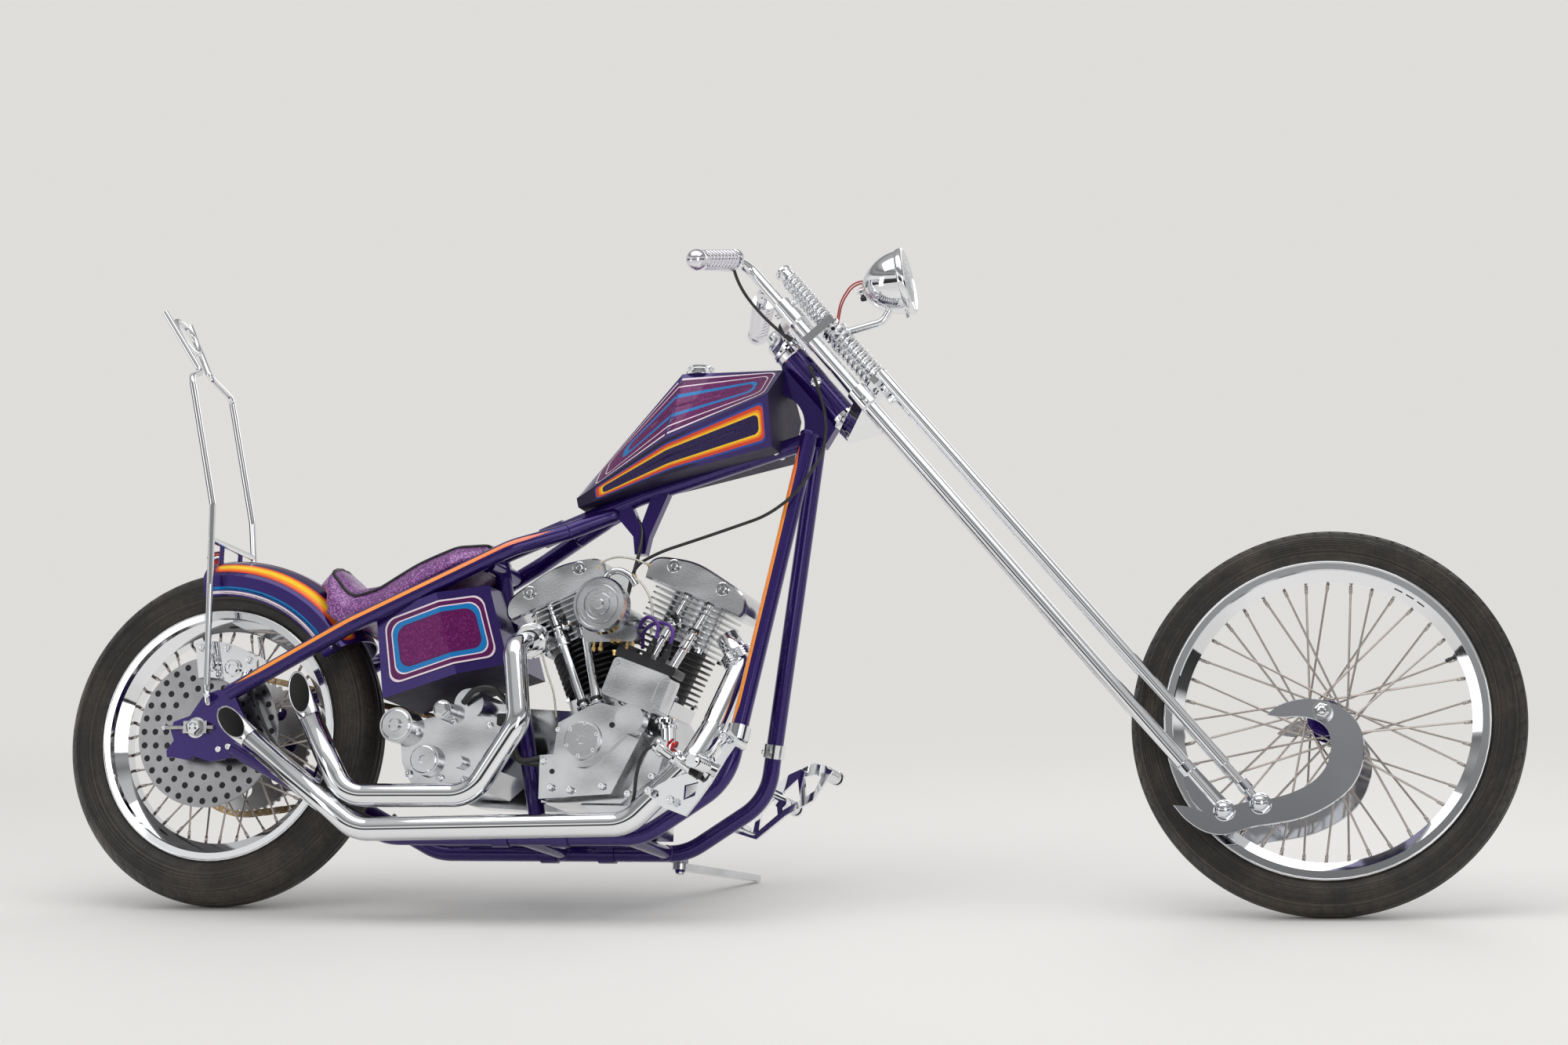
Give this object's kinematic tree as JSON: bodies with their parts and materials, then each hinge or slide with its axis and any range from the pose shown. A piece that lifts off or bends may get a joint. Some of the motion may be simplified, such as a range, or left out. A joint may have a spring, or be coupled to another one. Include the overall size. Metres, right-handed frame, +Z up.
{
  "type": "chopper motorcycle",
  "caption": "Long chopper motorcycle with a rigid tube frame, a springer fork, a V-twin engine, wire wheels and a sissy bar, parked on its side stand.",
  "frame": {"origin": "on the floor, under the middle of the whole part's box", "axes": "+X towards the front wheel, +Y to the rider's left, +Z up; the machine leans 15 degrees to its left"},
  "size_m": [2.7952, 0.7536, 1.2183],
  "materials": {
    "tyre_rubber": "worn matt black-brown rubber",
    "chrome": "bright chrome plate",
    "spoke_chrome": "plated wire",
    "polished_alloy": "polished cast alloy",
    "cast_alloy": "satin cast alloy",
    "barrel_black": "satin black fins",
    "frame_purple": "candy purple gloss",
    "tank_paint": "candy purple with magenta, orange and cyan stripes",
    "fender_paint": "candy purple with orange and cyan stripes",
    "oil_tank_paint": "candy purple with magenta panels",
    "seat_vinyl": "metal-flake purple vinyl",
    "black_plastic": "gloss black",
    "chain_bronze": "bronze-plated chain",
    "steel": "machined steel",
    "grip_clear": "clear grip over polished metal",
    "cable_black": "black cable cover",
    "wire_cover": "thin wire cover",
    "lens_glass": "clear fluted lens",
    "lamp_red": "red lens in a chrome case"
  },
  "bodies": {
    "frame": {"frame_neck": "frame_purple", "downtube_right": "frame_purple", "downtube_left": "frame_purple", "lower_rail_right": "frame_purple", "lower_rail_left": "frame_purple", "upper_rail_right": "frame_purple", "upper_rail_left": "frame_purple", "seat_tube": "frame_purple", "engine_cross_tube": "frame_purple", "motor_mount": "frame_purple", "fuel_tank": "tank_paint", "tank_cap": "chrome", "oil_tank": "oil_tank_paint", "seat": "seat_vinyl", "rear_fender": "fender_paint", "sissy_bar": "chrome", "tail_lamp": "lamp_red", "crankcase": "polished_alloy", "cam_cover": "polished_alloy", "rear_cylinder": "barrel_black", "front_cylinder": "barrel_black", "rocker_boxes": "polished_alloy", "pushrod_tubes": "chrome", "air_cleaner": "polished_alloy", "carburettor": "cast_alloy", "magneto": "polished_alloy", "magneto_cap": "black_plastic", "throttle_cable": "cable_black", "exhaust_pipes": "chrome", "gearbox": "polished_alloy", "primary_cover": "polished_alloy", "brake_control": "chrome", "shift_control": "chrome", "drive_chain": "chain_bronze", "rear_caliper": "chrome", "rear_axle": "steel"},
    "rear_wheel": {"rear_tyre": "tyre_rubber", "rear_rim": "chrome", "rear_spokes": "spoke_chrome", "rear_hub": "frame_purple", "brake_disc": "steel", "rear_sprocket": "steel"},
    "fork": {"front_axle": "steel", "fork_rear_legs": "chrome", "fork_front_legs": "chrome", "fork_springs": "chrome", "rockers": "chrome", "handlebar": "chrome", "grips": "grip_clear", "headlight": "chrome", "headlight_lens": "lens_glass", "headlight_wires": "wire_cover"},
    "front_wheel": {"front_tyre": "tyre_rubber", "front_rim": "chrome", "front_spokes": "spoke_chrome", "front_hub": "frame_purple"},
    "stand": {"side_stand": "polished_alloy"}
  },
  "joints": [
    {"name": "rear_wheel_spin", "type": "hinge", "parent": "frame", "child": "rear_wheel", "pos_m": [-1.07065, -0.07604, 0.3179], "axis": [0.0001, 0.9659, -0.2588], "continuous": true},
    {"name": "steering", "type": "hinge", "parent": "frame", "child": "fork", "pos_m": [0.09912, 0.09479, 0.95585], "axis": [-0.6629, 0.1938, 0.7232], "range_deg": [-33.45, 26.55]},
    {"name": "front_wheel_spin", "type": "hinge", "parent": "fork", "child": "front_wheel", "pos_m": [1.05196, -0.05441, 0.33221], "axis": [-0.045, 0.9539, -0.2969], "continuous": true},
    {"name": "stand_fold", "type": "hinge", "parent": "frame", "child": "stand", "pos_m": [-0.1872, 0.0217, 0.05126], "axis": [-0.0004, 0.2588, 0.9659], "range_deg": [0, 105]}
  ]
}
